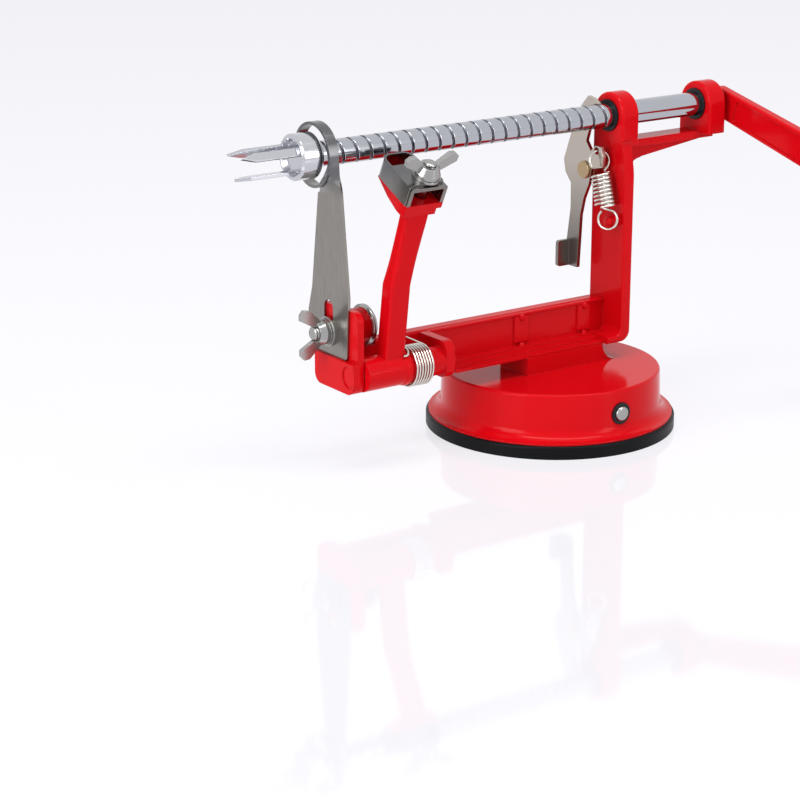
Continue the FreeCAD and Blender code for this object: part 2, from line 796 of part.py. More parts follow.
def fork():
    """Chrome hub with a shallow dish and three flat pointed prongs."""
    x0, x1 = fork_x
    edge = fork_edge
    hub = turned_x([(x0, 0), (x0, fork_radius - edge / 2), (x0 + edge / 2, fork_radius),
                    (x1 - edge, fork_radius), (x1, fork_radius - edge), (x1, 0)])
    dish = turned_x([(x0 - over, 0), (x0 - over, fork_radius - edge), (x0, fork_radius - edge),
                     (x0 + fork_dish, fork_radius - 2 * edge), (x0 + fork_dish, 0)])
    hub = hub.cut([dish, rod_x(spigot_radius, x1 - fork_spigot, x1 + over)])
    half = prong_width / 2
    root = x0 + fork_dish + prong_root
    tip = x0 - prong_length
    blade = face_of([V(root, -half, axis_z + prong_circle), V(root, half, axis_z + prong_circle),
                     V(tip + prong_point, half, axis_z + prong_circle), V(tip, 0, axis_z + prong_circle),
                     V(tip + prong_point, -half, axis_z + prong_circle)]).extrude(V(0, 0, prong_thick))
    prongs = []
    for k in range(prong_count):
        prong = blade.copy()
        prong.rotate(V(0, 0, axis_z), V(1, 0, 0), prong_turn + k * 360 / prong_count)
        prongs.append(prong)
    return hub.fuse(prongs)


def thrust_washer():
    """Dark washer between the rear lug's bush and the crank."""
    x0 = rear_lug_x[1] + bush_proud + seat_gap
    washer = rod_x(thrust_radius, x0, crank_x[0] - seat_gap)
    return washer.cut(rod_x(rod_radius + run_fit, x0 - over, crank_x[0]))


def crank_arm():
    """Bar that widens from the screw end to the grip, with a shallow recess in its near face."""
    x0, x1 = crank_x
    arm = crank_outline(x0, x1, 0)
    arm = rounded(arm, crank_edge, lambda e: e.BoundBox.XLength < hair)
    recess = crank_outline(x0 - over, x0 + crank_recess, crank_rim)
    clear = crank_radius - crank_far_height
    recess = recess.common(block((x0 - over, x1), (-clear, -crank_height), (0, 2 * axis_z)))
    recess = rounded(recess, crank_edge, lambda e: runs_along(e, V(1, 0, 0)))
    arm = arm.cut([recess, rod_x(crank_end_radius, x0 - over, x1 + over),
                   rod_x(grip_pin_radius, x0 - over, x1 + over, -crank_radius, axis_z)])
    return drooped(arm)


def crank_outline(x0, x1, inset):
    """Tapered bar with round ends between two faces, its edge moved in by the inset."""
    near = crank_height / 2 - inset
    far = crank_far_height / 2 - inset
    lean = (far - near) / crank_radius
    up = math.sqrt(1 - lean ** 2)
    flank = [(near * lean * -1, near * up), (-crank_radius - far * lean, far * up)]
    outline = flank + [(y, -z) for y, z in reversed(flank)]
    bar = along_x([(y, axis_z + z) for y, z in outline], x0, x1)
    ends = [rod_x(near, x0, x1), rod_x(far, x0, x1, -crank_radius, axis_z)]
    return bar.fuse(ends).removeSplitter()


def drooped(shape):
    """Shape turned about the screw line to the crank's photographed angle."""
    shape.rotate(V(0, 0, axis_z), V(1, 0, 0), crank_droop)
    return shape


def crank_nut():
    """Domed nut on the end of the screw."""
    x0 = crank_x[1]
    hexagon = [(nut_flat_radius * math.cos(math.radians(60 * k)),
                axis_z + nut_flat_radius * math.sin(math.radians(60 * k))) for k in range(6)]
    nut = along_x(hexagon, x0, x0 + nut_dome)
    inner = nut_flat_radius * math.cos(math.radians(30))
    cap = turned_x([(x0, 0), (x0, nut_flat_radius), (x0 + nut_dome / 2, nut_flat_radius),
                    (x0 + nut_dome * nut_shoulder, inner * nut_shoulder), (x0 + nut_dome, inner * nut_tip),
                    (x0 + nut_dome, 0)])
    return nut.common(cap).cut(rod_x(crank_end_radius, x0 - over, x0 + nut_dome - nut_roof))


def grip_pin():
    """Rivet that holds the grip on the crank."""
    y = -crank_radius
    tail = crank_x[0] - upset_proud
    end = crank_x[1] + seat_gap + grip_length
    upset = rod_x(grip_pin_radius + upset_step, tail, crank_x[0], y)
    upset = rounded(upset, rivet_edge, lambda e: not is_line(e) and e.BoundBox.XMax < tail + close_to)
    head_x = end - grip_head_thick - grip_sink
    shank = rod_x(grip_pin_radius, tail + upset_root, head_x + over, y)
    head = rod_x(grip_head_radius, head_x, head_x + grip_head_thick, y)
    head = rounded(head, turned_edge, lambda e: not is_line(e) and e.BoundBox.XMin > head_x + close_to)
    return drooped(shank.fuse([upset, head]).removeSplitter())


def crank_grip():
    """Barrel grip with a waist and a sunk end for the pin's head."""
    x0 = crank_x[1] + seat_gap
    x1 = x0 + grip_length
    near = V(x0, -crank_radius, axis_z + grip_waist)
    crown = V((x0 + x1) / 2, -crank_radius, axis_z + grip_radius)
    far = V(x1, -crank_radius, axis_z + grip_waist)
    barrel = Part.Arc(near, crown, far).toShape()
    low0 = V(x0, -crank_radius, axis_z)
    low1 = V(x1, -crank_radius, axis_z)
    wire = Part.Wire([Part.makeLine(low0, near), barrel, Part.makeLine(far, low1), Part.makeLine(low1, low0)])
    body = Part.Face(wire).revolve(low0, V(1, 0, 0), 360)
    body = rounded(body, grip_edge, lambda e: not is_line(e) and e.BoundBox.XLength < hair)
    sink = grip_head_thick + grip_sink + seat_gap
    bores = [rod_x(grip_pin_radius + run_fit, x0 - over, x1 + over, -crank_radius),
             rod_x(grip_head_radius + seat_gap, x1 - sink, x1 + over, -crank_radius)]
    return drooped(body.cut(bores))


# Release lever
def release_lever():
    """Sheet lever: hook over the screw, jaw beside it, spring ear, handle and bent thumb tab."""
    reach = rod_radius + seat_gap
    arc = []
    for k in range(jaw_count + 1):
        a = math.radians(jaw_angle + (hook_angle - jaw_angle) * k / jaw_count)
        arc.append((reach * math.cos(a), axis_z + reach * math.sin(a)))
    spots = (lever_tip, lever_crest, lever_neck, lever_shoulder, lever_back, lever_belly, lever_hip,
             lever_waist, lever_small, (lever_heel_y, tab_z[1] - axis_z), (lever_heel_y, tab_z[0] - axis_z),
             (handle_front_y, tab_z[0] - axis_z), handle_small, handle_swell, handle_root, ear_low, ear_near,
             ear_side, ear_crown, ear_far, throat_low, throat_back, throat_top)
    plate = along_x(arc + [(y, axis_z + rise) for y, rise in spots], plate_lever_x[0], plate_lever_x[1])
    thick = plate_lever_x[1] - plate_lever_x[0]
    tab = block((tab_x, plate_lever_x[1]), (lever_heel_y - thick, lever_heel_y), tab_z)
    lever = plate.fuse(tab).removeSplitter()
    lever = rounded(lever, tab_edge, lambda e: runs_along(e, V(0, 1, 0))
                    and e.BoundBox.XMax < tab_x + close_to)
    up = (V(*loop_top) - V(*loop_low)).normalize()
    hole = V(*loop_top) + up * loop_radius
    return lever.cut([rod_x(fulcrum_radius + run_fit, plate_lever_x[0] - over, plate_lever_x[1] + over,
                            fulcrum_y, fulcrum_z),
                      rod_x(ear_hole_radius, plate_lever_x[0] - over, plate_lever_x[1] + over,
                            hole.y, hole.z)])


def lever_pivot():
    """Brass shoulder rivet: spacer against the casting, journal, and a flat head."""
    x0, x1 = plate_lever_x
    shoulder = rod_x(fulcrum_shoulder, x1 + run_fit, column_x[0], fulcrum_y, fulcrum_z)
    journal = rod_x(fulcrum_radius, x0 - run_fit, x1 + over, fulcrum_y, fulcrum_z)
    head_x = x0 - run_fit - fulcrum_head_thick
    head = rod_x(fulcrum_head, head_x, x0 - run_fit, fulcrum_y, fulcrum_z)
    head = rounded(head, fine_edge, lambda e: not is_line(e) and e.BoundBox.XMax < head_x + close_to)
    shank = rod_x(fulcrum_shank, column_x[0] - over, column_x[1], fulcrum_y, fulcrum_z)
    return shoulder.fuse([journal, head, shank])


# Springs
def biarc(p0, t0, p1, t1):
    """Two tangent arcs from point p0 with heading t0 to point p1 with heading t1."""
    w = p1 - p0
    both = t0 + t1
    a = both * both - 4
    b = -2 * (w * both)
    c = w * w
    if abs(a) < 1e-9:
        d = -c / b
    else:
        d = (-b - math.sqrt(b * b - 4 * a * c)) / (2 * a)
        if d <= 0:
            d = (-b + math.sqrt(b * b - 4 * a * c)) / (2 * a)
    joint = (p0 + t0 * d + p1 - t1 * d) * 0.5
    return [bend(p0, p0 + t0 * d, joint), bend(joint, p1 - t1 * d, p1)]


def bend(start, apex, end):
    """Arc from start to end that touches both sides of the apex."""
    half = (end - start).Length / 2
    middle = (start + end) * 0.5
    rise = apex - middle
    if rise.Length < 1e-4 * half:
        return Part.makeLine(start, end)
    turn = math.atan2(rise.Length, half)
    crown = middle + rise.normalize() * (half * tangent(turn / 2))
    return Part.Arc(start, crown, end).toShape()


def wire_tube(points, headings, radius):
    """One unbroken round wire along points with their headings."""
    pieces = []
    for k in range(len(points) - 1):
        pieces.extend(biarc(points[k], headings[k], points[k + 1], headings[k + 1]))
    spine = Part.Wire(pieces)
    ring = Part.Wire(Part.makeCircle(radius, points[0], headings[0]))
    return spine.makePipeShell([ring], True, False)


def own_gap(path, wire, skip):
    """Least free gap of a wire to itself on sampled points, neighbours within skip left out."""
    least = 1e9
    for i in range(len(path)):
        for j in range(i + skip, len(path)):
            least = min(least, (path[i] - path[j]).Length - wire)
    return least


def headings_of(path_at, params):
    """Points and unit headings of a path formula at its parameters."""
    points = [path_at(s) for s in params]
    step = 1e-4
    ways = [(path_at(s + step) - path_at(s - step)).normalize() for s in params]
    return points, ways


def joined(p0, t0, p1, t1, pull, count):
    """Points and headings of a smooth link between two ends, without the ends."""
    points = []
    ways = []
    for k in range(1, count):
        s = k / count
        h0 = 2 * s ** 3 - 3 * s ** 2 + 1
        h1 = s ** 3 - 2 * s ** 2 + s
        h2 = -2 * s ** 3 + 3 * s ** 2
        h3 = s ** 3 - s ** 2
        points.append(p0 * h0 + t0 * (pull * h1) + p1 * h2 + t1 * (pull * h3))
        way = p0 * (6 * s ** 2 - 6 * s) + t0 * (pull * (3 * s ** 2 - 4 * s + 1))
        way = way + p1 * (6 * s - 6 * s ** 2) + t1 * (pull * (3 * s ** 2 - 2 * s))
        ways.append(way.normalize())
    return points, ways


def torsion_spring():
    """Spring on the arm's sleeve: straight leg to the beam, turns, short tail in front of the limb."""
    mean = collar_radius + seat_gap + coil_wire / 2
    lead = (coil_x[1] - coil_x[0]) / coil_count
    tail_y = limb_thick / 2 + seat_gap + coil_wire / 2
    tail_angle = math.pi - math.acos(tail_y / mean) + math.radians(rest_swing)
    turns = coil_count + (tail_angle / math.pi - 0.5) / 2
    finish = turns - coil_hook

    def on_coil(x, s):
        a = math.pi / 2 + 2 * math.pi * s
        return V(x, pivot_y + mean * math.cos(a), pivot_z + mean * math.sin(a))

    def turn_at(s):
        return on_coil(coil_x[1] - lead * s, s)

    def hook_at(u):
        x = coil_x[1] - lead * finish - tail_bend * (1 - math.cos(u))
        return on_coil(x, finish + coil_hook * math.sin(u))

    count = int(finish * coil_turn_count) + 1
    points, ways = headings_of(turn_at, [finish * k / (count - 1) for k in range(count)])
    leg_end = points[0] + ways[0] * ((-seat_gap - pivot_y) / ways[0].y)
    hook, hook_ways = headings_of(hook_at, [math.pi / 2 * k / tail_count for k in range(1, tail_count + 1)])
    tail_end = V(limb_x[1] - tail_past, hook[-1].y, hook[-1].z)
    path = [leg_end] + points + hook + [tail_end]
    heads = [ways[0]] + ways + hook_ways + [V(-1, 0, 0)]
    fine = [turn_at(finish * k / sample_count) for k in range(sample_count + 1)]
    print("torsion spring own gap", round(own_gap(fine, coil_wire, coil_skip_count), 3))
    return wire_tube(path, heads, coil_wire / 2)


def loop_frame(up, yaw):
    """Unit vectors across a spring: in the plane of its loop, and square to that plane."""
    side = V(math.sin(math.radians(yaw)), -math.cos(math.radians(yaw)), 0)
    side = (side - up * (side * up)).normalize()
    return side, up.cross(side)


def lever_spring():
    """Extension spring: low loop round the post, turns, top loop through the lever's ear."""
    top = V(*loop_top)
    low = V(*loop_low)
    up = (top - low).normalize()
    side, deep = loop_frame(up, loop_yaw_low)
    side_top = loop_frame(up, loop_yaw_top)[0]
    mean = (pull_outer - pull_wire) / 2
    span = (top - low).Length - 2 * loop_radius
    lead = (span - 2 * loop_inset) / pull_turns
    start = low + up * (loop_radius + loop_inset)

    def turn_at(s):
        a = 2 * math.pi * s - math.pi / 2
        return start + up * (lead * s) + side * (mean * math.cos(a)) + deep * (mean * math.sin(a))

    def loop_at(centre, way, angle, sense):
        return centre + way * (loop_radius * math.cos(angle)) + up * (sense * loop_radius * math.sin(angle))

    count = int(pull_turns * coil_turn_count) + 1
    points, ways = headings_of(turn_at, [pull_turns * k / (count - 1) for k in range(count)])
    top_params = [-loop_start + k * loop_step for k in range(loop_count)]
    top_points, top_ways = headings_of(lambda a: loop_at(top, side_top, a, 1), top_params)
    link_up, link_up_ways = joined(points[-1], ways[-1], top_points[0], top_ways[0], link_pull, link_count)
    low_params = [loop_start + math.pi - k * loop_step for k in range(loop_count)]
    low_points, low_ways = headings_of(lambda a: loop_at(low, side, a, -1), low_params)
    low_ways = [w * -1 for w in low_ways]
    link_low, link_low_ways = joined(low_points[-1], low_ways[-1], points[0], ways[0], link_pull, link_count)
    path = low_points + link_low + points + link_up + top_points
    heads = low_ways + link_low_ways + ways + link_up_ways + top_ways
    fine = [turn_at(pull_turns * k / sample_count) for k in range(sample_count + 1)]
    print("release spring own gap", round(own_gap(fine, pull_wire, pull_skip_count), 3))
    return wire_tube(path, heads, pull_wire / 2)


# Peeler arm
def on_arm(shape):
    """Shape from arm coordinates (pivot at the origin, arm upright) to its rest pose."""
    shape.rotate(V(0, 0, 0), V(1, 0, 0), rest_swing)
    shape.translate(pivot)
    return shape


def on_head(shape):
    """Shape from head coordinates to its rest pose on the arm."""
    shape.rotate(V(0, 0, 0), V(1, 0, 0), head_tilt)
    shape.translate(V(0, head_near, head_z))
    return on_arm(shape)


def limb_section(x, thick, z):
    """Rectangle with round corners across the limb."""
    h = thick / 2
    r = beam_round
    corners = [V(x[0], -h, z), V(x[1], -h, z), V(x[1], h, z), V(x[0], h, z)]
    edges = []
    last = None
    first = None
    for k in range(4):
        corner = corners[k]
        back = (corners[k - 1] - corner).normalize() * r
        ahead = (corners[(k + 1) % 4] - corner).normalize() * r
        start = corner + back
        end = corner + ahead
        crown = corner + (back + ahead) * (1 - root_half)
        if last is None:
            first = start
        else:
            edges.append(Part.makeLine(last, start))
        edges.append(Part.Arc(start, crown, end).toShape())
        last = end
    edges.append(Part.makeLine(last, first))
    return Part.Wire(edges)


def peeler_arm():
    """Cast arm: hub, collar, sleeve, bent limb and the wedge that carries the holder."""
    hub = rod_x(hub_radius, plate_x[1] + seat_gap, collar_x[0] + over, 0, 0)
    collar = rod_x(collar_radius, collar_x[0], collar_x[1], 0, 0)
    collar = rounded(collar, beam_round, lambda e: not is_line(e)
                     and e.BoundBox.XMax < collar_x[0] + close_to)
    sleeve = rod_x(sleeve_radius, collar_x[1] - over, ear_boss_x[0] - seat_gap, 0, 0)
    slope = (limb_top_x[0] - limb_x[0]) / (limb_top_z - limb_bend_z)
    shift = slope * (head_z - over - limb_top_z)
    end_x = (limb_top_x[0] + shift, limb_top_x[1] + shift)
    limb = Part.makeLoft([limb_section(limb_x, limb_thick, 0), limb_section(limb_x, limb_thick, limb_bend_z),
                          limb_section(limb_top_x, limb_top_thick, limb_top_z),
                          limb_section(end_x, limb_top_thick, head_z - over)], True, True)
    wedge = along_x([(0, -head_thick), (head_length * head_flat, -head_thick),
                     (head_length * head_knee, -head_thick * head_knee_thick), (head_length, -head_taper),
                     (head_length, 0), (0, 0)], head_x[0], head_x[1])
    step = block((head_x[1] - head_step, head_x[1] + over), (-over, head_length + over),
                 (-head_thick - over, -head_thick / 2))
    wedge = wedge.cut(step)
    wedge.rotate(V(0, 0, 0), V(1, 0, 0), head_tilt)
    wedge.translate(V(0, head_near, head_z))
    arm = hub.fuse(collar).fuse(sleeve).fuse(limb).fuse(wedge)
    arm = arm.cut(rod_x(axle_radius + run_fit, plate_x[0], ear_boss_x[1], 0, 0))
    stud = rod_z(stud_radius, -head_thick / 2, holder_height, stud_x, stud_v)
    stud.rotate(V(0, 0, 0), V(1, 0, 0), head_tilt)
    stud.translate(V(0, head_near, head_z))
    return on_arm(arm.cut(stud))


def peeler_axle():
    """Steel axle from the blind hole in the end plate to just inside the ear's boss."""
    end = ear_boss_x[1] - axle_short
    axle = rod_x(axle_radius, plate_x[1] - axle_blind, end, pivot_y, pivot_z)
    return rounded(axle, fine_edge, lambda e: not is_line(e) and e.BoundBox.XMin > end - close_to)


def blade_holder():
    """Bent steel channel on the wedge, open towards the viewer."""
    outer = block(head_x, (0, holder_length), (0, holder_height))
    outer = rounded(outer, holder_bend, lambda e: runs_along(e, V(0, 1, 0))
                    and e.BoundBox.ZMin > holder_height - close_to)
    inner = block((head_x[0] + holder_wall, head_x[1] - holder_wall), (-over, holder_length + over),
                  (-over, holder_height - holder_wall))
    hole = rod_z(stud_radius, 0, holder_height + over, stud_x, stud_v)
    return on_head(outer.cut([inner, hole]))


def blade_loop(x, far, corner):
    """Block over the blade's height with round corners at its far end."""
    shape = block(x, (blade_near, far), (seat_gap, holder_height + blade_thick))
    return rounded(shape, corner, lambda e: runs_along(e, V(0, 0, 1)) and e.BoundBox.YMin > far - blade_thick)


def peeler_blade():
    """Strip on edge down the holder's side and round in an open loop, on a foot under the washer."""
    x0 = head_x[0] - blade_thick
    top = holder_height + blade_thick
    outer = blade_loop((x0, blade_far_x), blade_nose, blade_corner)
    inner = blade_loop((head_x[0], blade_far_x - blade_thick), blade_nose - blade_thick,
                       blade_corner - blade_thick)
    near_side = block((head_x[0], blade_far_x + over), (blade_near - over, blade_return), (0, top + over))
    foot = block((x0, foot_right), (foot_near, foot_far), (holder_height, top))
    foot = rounded(foot, foot_corner, lambda e: runs_along(e, V(0, 0, 1))
                   and e.BoundBox.XMin > head_x[1] - head_step)
    strip = outer.cut([inner, near_side])
    hole = rod_z(stud_radius + run_fit, holder_height - over, top + over, stud_x, stud_v)
    return on_head(strip.fuse(foot).cut(hole))


def holder_stud():
    """Threaded stud from the wedge through holder, blade and washer."""
    stud = rod_z(stud_radius, -head_thick / 2, holder_height + stud_tail, stud_x, stud_v)
    end = holder_height + stud_tail
    stud = rounded(stud, fine_edge, lambda e: not is_line(e) and e.BoundBox.ZMin > end - close_to)
    return on_head(stud)


def holder_washer():
    """Round washer on the blade's foot."""
    z = holder_height + blade_thick
    washer = rod_z(washer_radius, z, z + washer_thick, stud_x, stud_v)
    return on_head(washer.cut(rod_z(stud_radius + run_fit, z - over, z + 2 * over, stud_x, stud_v)))


def wing_nut(base_radius, top_radius, height, bore, reach, rise):
    """Wing nut on Z with its seat at the origin and its wings along X."""
    cone = turned_z([(0, 0), (base_radius, 0), (base_radius, height * nut_seat), (top_radius, height),
                     (0, height)])
    half = wing_thick / 2
    root = base_radius * wing_root
    wings = []
    for side in (1, -1):
        tip_z = rise + height
        outline = [(side * root, height * nut_seat), (side * base_radius, height * wing_seat),
                   (side * reach, tip_z - wing_width * wing_side),
                   (side * (reach + wing_swell), tip_z - wing_width * wing_chamfer),
                   (side * (reach - wing_width * wing_chamfer), tip_z),
                   (side * (reach - wing_width * wing_side), tip_z), (side * root, height)]
        wing = along_y(outline, -half, half)
        wings.append(wing)
    nut = cone.fuse(wings).removeSplitter()
    return nut.cut(rod_z(bore, -over, height + rise))


def holder_wing_nut():
    """Wing nut that clamps the blade."""
    nut = wing_nut(nut_radius, nut_top_radius, nut_height, stud_radius + run_fit, wing_reach, wing_rise)
    nut.translate(V(stud_x, stud_v, holder_height + blade_thick + washer_thick + run_fit))
    return on_head(nut)


# Corer blade
def strip_section(s):
    """Thin rectangle across the strip between the ring (s 0) and the leaning plate (s 1)."""
    ease = s * s * (3 - 2 * s)
    z = axis_z + (lean_top_z - axis_z) * s
    ring_y = -ring_outer + strip_thick / 2
    x = ring_x[1] + (lean_top_x - ring_x[1]) * ease
    y = ring_y + (near_top_y - ring_y) * ease
    angle = math.radians(180 - 90 * ease)
    ring_width = ring_x[1] - ring_x[0]
    width = ring_width + (far_top_y - near_top_y - ring_width) * s * s
    way = V(math.cos(angle), math.sin(angle), 0)
    across = V(-math.sin(angle), math.cos(angle), 0) * (strip_thick / 2)
    near = V(x, y, z)
    far = near + way * width
    corners = [near - across, far - across, far + across, near + across]
    return Part.makePolygon(corners + [corners[0]])


def corer_blade():
    """Strip blade: round coring ring, twist, leaning slicing plate and slotted foot."""
    ring = rod_x(ring_outer, ring_x[0], ring_x[1]).cut(
        rod_x(ring_outer - strip_thick, ring_x[0] - over, ring_x[1] + over))
    sections = [strip_section(k / (strip_sections - 1)) for k in range(strip_sections)]
    twist = Part.makeLoft(sections, True, True)
    half = strip_thick / 2
    face = foot_face + half
    top_z = lean_top_z + strip_thick / 2
    profile = [(face - half, plate_step_z + run_fit), (face + half, plate_step_z + run_fit),
               (face + half, bend_z), (lean_top_x + half, top_z), (lean_top_x - half, top_z),
               (face - half, bend_z)]
    side = along_y(profile, -ring_outer * 2, ring_outer * 2)
    outline = [(near_foot_y, plate_step_z), (bolt_y + toe_reach, plate_step_z), (far_foot_y, shoulder_z),
               (far_top_y, top_z), (near_top_y + top_trim, top_z)]
    shape = along_x(outline, lean_top_x - blank_margin, face + blank_margin)
    shape = rounded(shape, toe_corner, lambda e: runs_along(e, V(1, 0, 0)) and e.BoundBox.ZMax < bend_z)
    slot = block((lean_top_x, face + 2 * over), (bolt_y - slot_half, bolt_y + slot_half),
                 (bolt_z, slot_top - slot_half))
    slot = slot.fuse([rod_x(slot_half, lean_top_x, face + 2 * over, bolt_y, bolt_z),
                      rod_x(slot_half, lean_top_x, face + 2 * over, bolt_y, slot_top - slot_half)])
    plate = side.common(shape).cut(slot)
    return ring.fuse(twist).fuse(plate)


def corer_bolt():
    """Bolt with a wide low head behind the boss and a threaded front end."""
    x1 = bolt_boss_x + bolt_head_thick
    shank = rod_x(bolt_radius, bolt_front, bolt_boss_x + over, bolt_y, bolt_z)
    shank = rounded(shank, turned_edge, lambda e: not is_line(e) and e.BoundBox.XMax < bolt_front + close_to)
    head = turned_x([(bolt_boss_x, 0), (bolt_boss_x, bolt_head_radius),
                     (x1 - bolt_head_low, bolt_head_radius),
                     (x1 - bolt_head_high, bolt_head_radius * bolt_head_step),
                     (x1, bolt_head_radius * bolt_head_flat), (x1, 0)], bolt_y, bolt_z)
    return shank.fuse(head)


def corer_washers():
    """Two washers between the blade's foot and the wing nut."""
    x1 = foot_face
    washers = []
    for k in range(plain_washer_count):
        x0 = x1 - plain_washer_thick
        disc = rod_x(plain_washer_radius - plain_washer_step * k, x0, x1, bolt_y, bolt_z)
        washers.append(disc.cut(rod_x(bolt_radius + run_fit, x0 - over, x1 + over, bolt_y, bolt_z)))
        x1 = x0
    return Part.makeCompound(washers)


def corer_wing_nut():
    """Wing nut on the bolt, wings up and down."""
    nut = wing_nut(bolt_nut_radius, bolt_nut_top_radius, bolt_nut_height, bolt_radius + run_fit,
                   bolt_wing_reach, bolt_wing_rise)
    nut.rotate(V(0, 0, 0), V(0, 1, 0), -90)
    nut.translate(V(foot_face - plain_washer_count * plain_washer_thick - run_fit, bolt_y, bolt_z))
    return nut


for node, maker in (("suction_pad", suction_pad), ("pad_stud", pad_stud), ("base_cover", base_cover),
                    ("cam_bushes", cam_bushes), ("cam_shaft", cam_shaft), ("suction_lever", suction_lever),
                    ("frame_screws", frame_screws), ("body_frame", body_frame),
                    ("feed_screw", feed_screw), ("fork", fork), ("thrust_washer", thrust_washer),
                    ("crank_arm", crank_arm), ("crank_nut", crank_nut), ("grip_pin", grip_pin),
                    ("crank_grip", crank_grip), ("release_lever", release_lever),
                    ("lever_pivot", lever_pivot), ("lever_spring", lever_spring),
                    ("peeler_arm", peeler_arm), ("peeler_axle", peeler_axle),
                    ("torsion_spring", torsion_spring), ("blade_holder", blade_holder),
                    ("peeler_blade", peeler_blade), ("holder_stud", holder_stud),
                    ("holder_washer", holder_washer), ("holder_wing_nut", holder_wing_nut),
                    ("corer_blade", corer_blade), ("corer_bolt", corer_bolt),
                    ("corer_washers", corer_washers), ("corer_wing_nut", corer_wing_nut)):
    save(node, maker())
save("front_bush", screw_bush(*front_lug_x))
save("rear_bush", screw_bush(*rear_lug_x))
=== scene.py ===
import math

import bpy
import numpy as np
from mathutils import Matrix, Vector


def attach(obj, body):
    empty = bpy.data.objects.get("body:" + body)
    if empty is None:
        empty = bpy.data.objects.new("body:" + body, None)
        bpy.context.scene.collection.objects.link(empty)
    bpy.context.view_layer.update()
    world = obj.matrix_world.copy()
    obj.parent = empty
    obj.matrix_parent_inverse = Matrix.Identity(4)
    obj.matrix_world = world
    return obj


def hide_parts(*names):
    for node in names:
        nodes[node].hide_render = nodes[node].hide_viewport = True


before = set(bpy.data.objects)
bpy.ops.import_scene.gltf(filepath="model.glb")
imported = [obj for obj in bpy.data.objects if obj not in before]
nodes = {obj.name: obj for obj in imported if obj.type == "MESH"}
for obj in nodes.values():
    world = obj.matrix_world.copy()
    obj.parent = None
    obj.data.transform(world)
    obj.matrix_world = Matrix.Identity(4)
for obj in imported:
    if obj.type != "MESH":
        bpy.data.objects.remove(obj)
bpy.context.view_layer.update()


# Frame and base cover
# Zinc die castings, degated and tumbled, then powder coated bright red and baked to a gloss.
# The coat is thick enough to round every edge, and it shows a soft orange peel close up.
def linear(hex_code):
    """The linear colour of an sRGB hex code: each channel c is ((c + 0.055) / 1.055) ** 2.4."""
    channels = [int(hex_code[k:k + 2], 16) / 255 for k in (1, 3, 5)]
    return [c / 12.92 if c <= 0.04045 else ((c + 0.055) / 1.055) ** 2.4 for c in channels] + [1.0]


def add(tree, kind, settings=(), **links):
    """One node of a kind with its settings, its named inputs set to values or linked to sockets."""
    node = tree.nodes.new(kind)
    for name, value in dict(settings).items():
        setattr(node, name, value)
    for name, value in links.items():
        socket = node.inputs[name.replace("_", " ")]
        if isinstance(value, bpy.types.NodeSocket):
            tree.links.new(value, socket)
        else:
            socket.default_value = value
    return node


def two_tone(tree, factor, first, second):
    """A mix of two hex colours by a factor."""
    mixed = add(tree, "ShaderNodeMix", {"data_type": "RGBA"}, Factor=factor)
    mixed.inputs["A"].default_value = linear(first)
    mixed.inputs["B"].default_value = linear(second)
    return mixed


bump_strength = 0.35
line_density = 900.0


def finish_of(name, colour, roughness, metallic=0.0, specular=0.5, grain=None, edge=None,
              streak=None, polish_and_painted_light=None):
    """A surface finish. grain is (size, depth) of a fine bump and edge the radius that the light
    sees on every edge, all in millimetres. streak is (second colour, stretch) of fine lines drawn
    out along Z, and polish_and_painted_light is (low, high, roughness, colour) of the heights in
    millimetres between which roughness and colour change; that change of colour is painted light
    and shade."""
    material = bpy.data.materials.new(name)
    material.use_nodes = True
    tree = material.node_tree
    shader = tree.nodes["Principled BSDF"]
    shader.inputs["Base Color"].default_value = linear(colour)
    shader.inputs["Roughness"].default_value = roughness
    shader.inputs["Metallic"].default_value = metallic
    shader.inputs["Specular IOR Level"].default_value = specular
    material.diffuse_color = linear(colour)
    place = add(tree, "ShaderNodeTexCoord") if grain or streak or polish_and_painted_light else None
    softened = add(tree, "ShaderNodeBevel", {"samples": 4}, Radius=edge / 1000.0) if edge else None
    if grain:
        size, depth = grain
        noise = add(tree, "ShaderNodeTexNoise", Vector=place.outputs["Object"],
                    Scale=1000.0 / size, Detail=2.0)
        bump = add(tree, "ShaderNodeBump", Strength=bump_strength, Distance=depth / 1000.0,
                   Height=noise.outputs["Fac"])
        if softened:
            tree.links.new(softened.outputs["Normal"], bump.inputs["Normal"])
        tree.links.new(bump.outputs["Normal"], shader.inputs["Normal"])
    elif softened:
        tree.links.new(softened.outputs["Normal"], shader.inputs["Normal"])
    if streak:
        second, stretch = streak
        drawn = add(tree, "ShaderNodeMapping", Vector=place.outputs["Object"],
                    Scale=(1.0, 1.0, 1.0 / stretch))
        lines = add(tree, "ShaderNodeTexNoise", Vector=drawn.outputs["Vector"],
                    Scale=line_density, Detail=3.0)
        mixed = two_tone(tree, lines.outputs["Fac"], colour, second)
        tree.links.new(mixed.outputs["Result"], shader.inputs["Base Color"])
    if polish_and_painted_light:
        low, high, polished, painted_light_colour = polish_and_painted_light
        split = add(tree, "ShaderNodeSeparateXYZ", Vector=place.outputs["Object"])
        share = add(tree, "ShaderNodeMapRange", Value=split.outputs["Z"],
                    From_Min=low / 1000.0, From_Max=high / 1000.0)
        level = add(tree, "ShaderNodeMapRange", Value=share.outputs["Result"],
                    To_Min=roughness, To_Max=polished)
        tree.links.new(level.outputs["Result"], shader.inputs["Roughness"])
        # The colour shifts with height towards a second colour: painted light and shade by height.
        shaded = two_tone(tree, share.outputs["Result"], colour, painted_light_colour)
        if streak:
            tree.links.new(mixed.outputs["Result"], shaded.inputs["A"])
        tree.links.new(shaded.outputs["Result"], shader.inputs["Base Color"])
    return material


def dress(names, material):
    """Gives CAD nodes a material."""
    for name in names:
        piece = nodes[name]
        piece.data.materials.clear()
        piece.data.materials.append(material)


